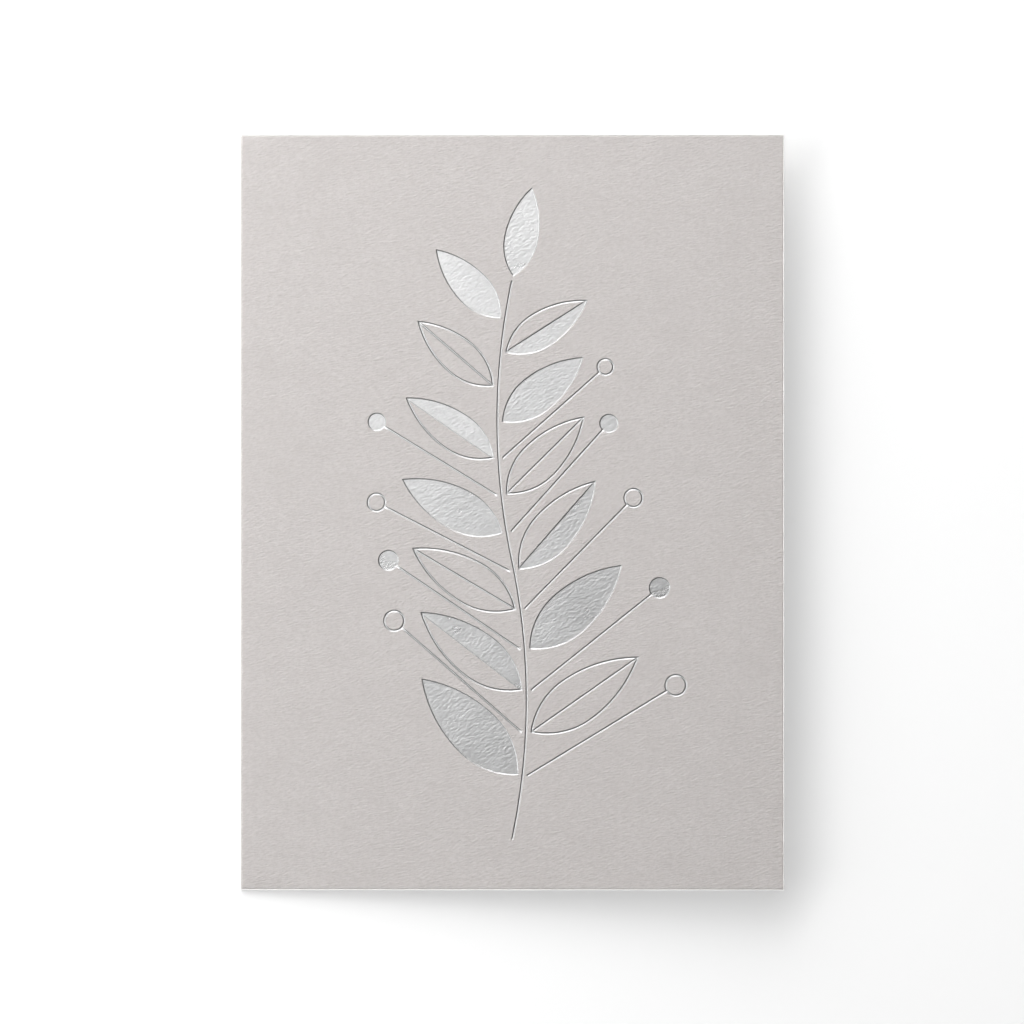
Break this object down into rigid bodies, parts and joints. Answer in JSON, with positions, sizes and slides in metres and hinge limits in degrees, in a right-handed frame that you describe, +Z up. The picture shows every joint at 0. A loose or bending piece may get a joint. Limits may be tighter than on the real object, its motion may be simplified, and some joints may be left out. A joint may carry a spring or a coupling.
{
  "type": "greeting card",
  "caption": "Folded greeting card, slightly sprung open, with a leafy sprig pressed into its front in silver foil.",
  "frame": {"origin": "middle of the card's outline, on the back panel's outside face that it lies on", "axes": "+X from the fold towards the opening edge, +Y towards the top of the card along the fold, +Z up through the front panel"},
  "size_m": [0.1142, 0.1588, 0.0104],
  "materials": {
    "card_stock": "uncoated felt-marked card, warm light grey, with paler cut edges",
    "silver_foil": "bright silver hot-stamped foil that takes up the felt mark"
  },
  "bodies": {
    "root": {"folded_sheet": "card_stock", "foil_stem": "silver_foil", "foil_full_leaves": "silver_foil", "foil_half_leaves": "silver_foil", "foil_outline_leaves": "silver_foil", "foil_berries": "silver_foil"}
  },
  "joints": []
}
